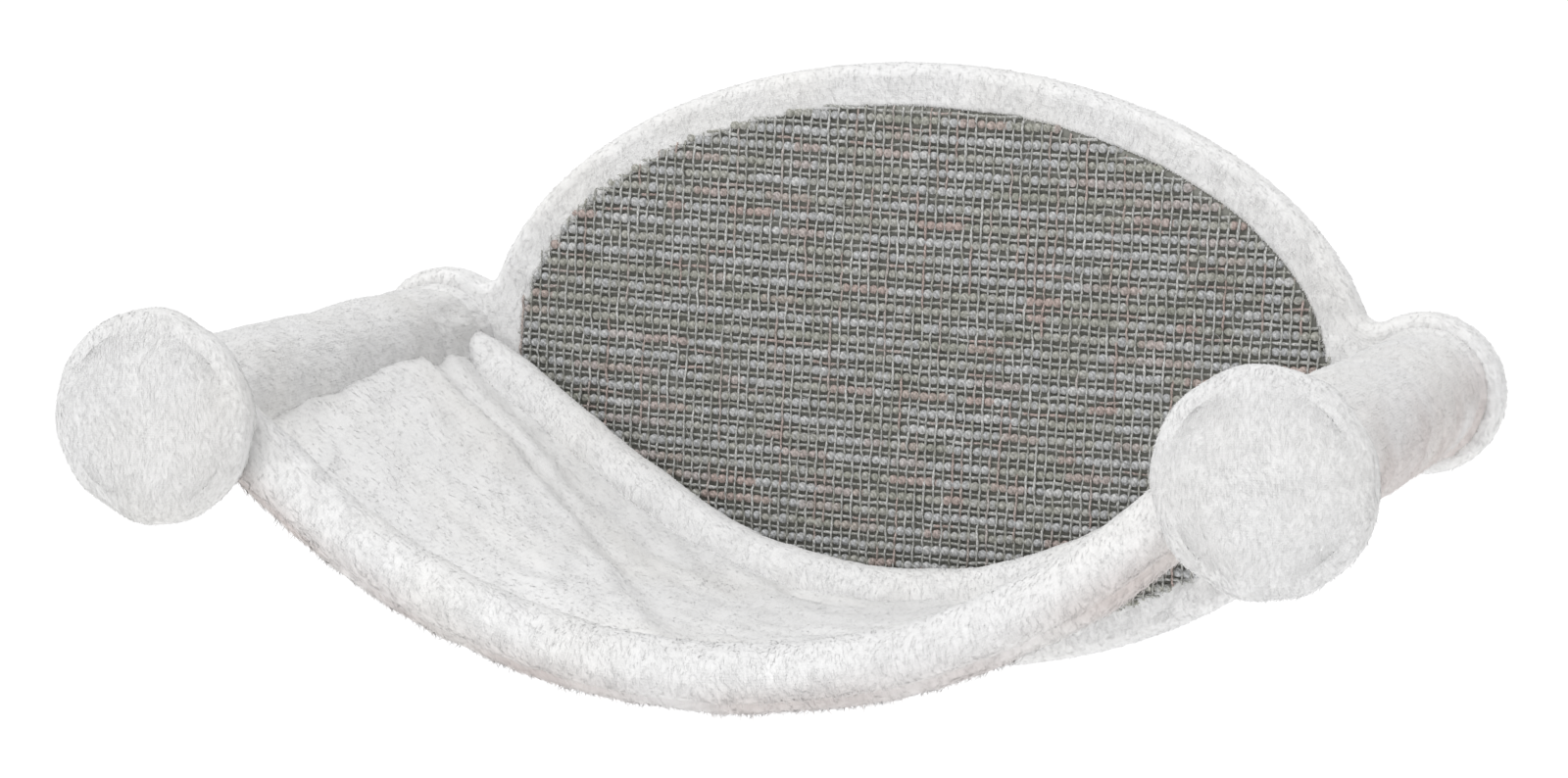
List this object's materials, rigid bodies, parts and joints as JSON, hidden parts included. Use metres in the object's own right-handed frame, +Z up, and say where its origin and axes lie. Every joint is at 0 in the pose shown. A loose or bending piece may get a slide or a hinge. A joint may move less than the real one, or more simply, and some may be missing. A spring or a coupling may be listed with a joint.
{
  "type": "wall-mounted pet lounger",
  "caption": "Padded plush sling slung between two padded posts that stand out of an oval wall board with a woven scratching mat.",
  "frame": {"origin": "on the wall plane, midway between the two keyhole entry holes in the hanger plates", "axes": "+Z up, +Y into the wall, +X to the right as seen from the room"},
  "size_m": [0.54, 0.3, 0.27],
  "materials": {
    "wood": "matt",
    "plush": "short soft pile",
    "sisal": "coarse woven",
    "latex": "matt",
    "card_tube": "matt",
    "wadding": "soft",
    "zinc_steel": "zinc plated"
  },
  "bodies": {
    "root": {"back_board": "wood", "bed_top_cloth": "plush", "bed_under_cloth": "plush", "bed_wadding": "wadding", "board_cover": "plush", "cover_staples": "zinc_steel", "disc_nuts": "zinc_steel", "disc_staples": "zinc_steel", "disc_studs": "zinc_steel", "front_roll_cover": "plush", "front_roll_filling": "wadding", "hanger_plates": "zinc_steel", "hanger_screws": "zinc_steel", "left_disc_cover": "plush", "left_end_disc": "wood", "left_front_plug": "wood", "left_post_tube": "card_tube", "left_rear_plug": "wood", "left_sleeve": "plush", "mat_backing": "latex", "plug_inserts": "zinc_steel", "plug_nails": "zinc_steel", "post_bolts": "zinc_steel", "post_washers": "zinc_steel", "rear_roll_cover": "plush", "rear_roll_filling": "wadding", "right_disc_cover": "plush", "right_end_disc": "wood", "right_front_plug": "wood", "right_post_tube": "card_tube", "right_rear_plug": "wood", "right_sleeve": "plush", "scratch_mat": "sisal", "stud_inserts": "zinc_steel"}
  },
  "joints": []
}
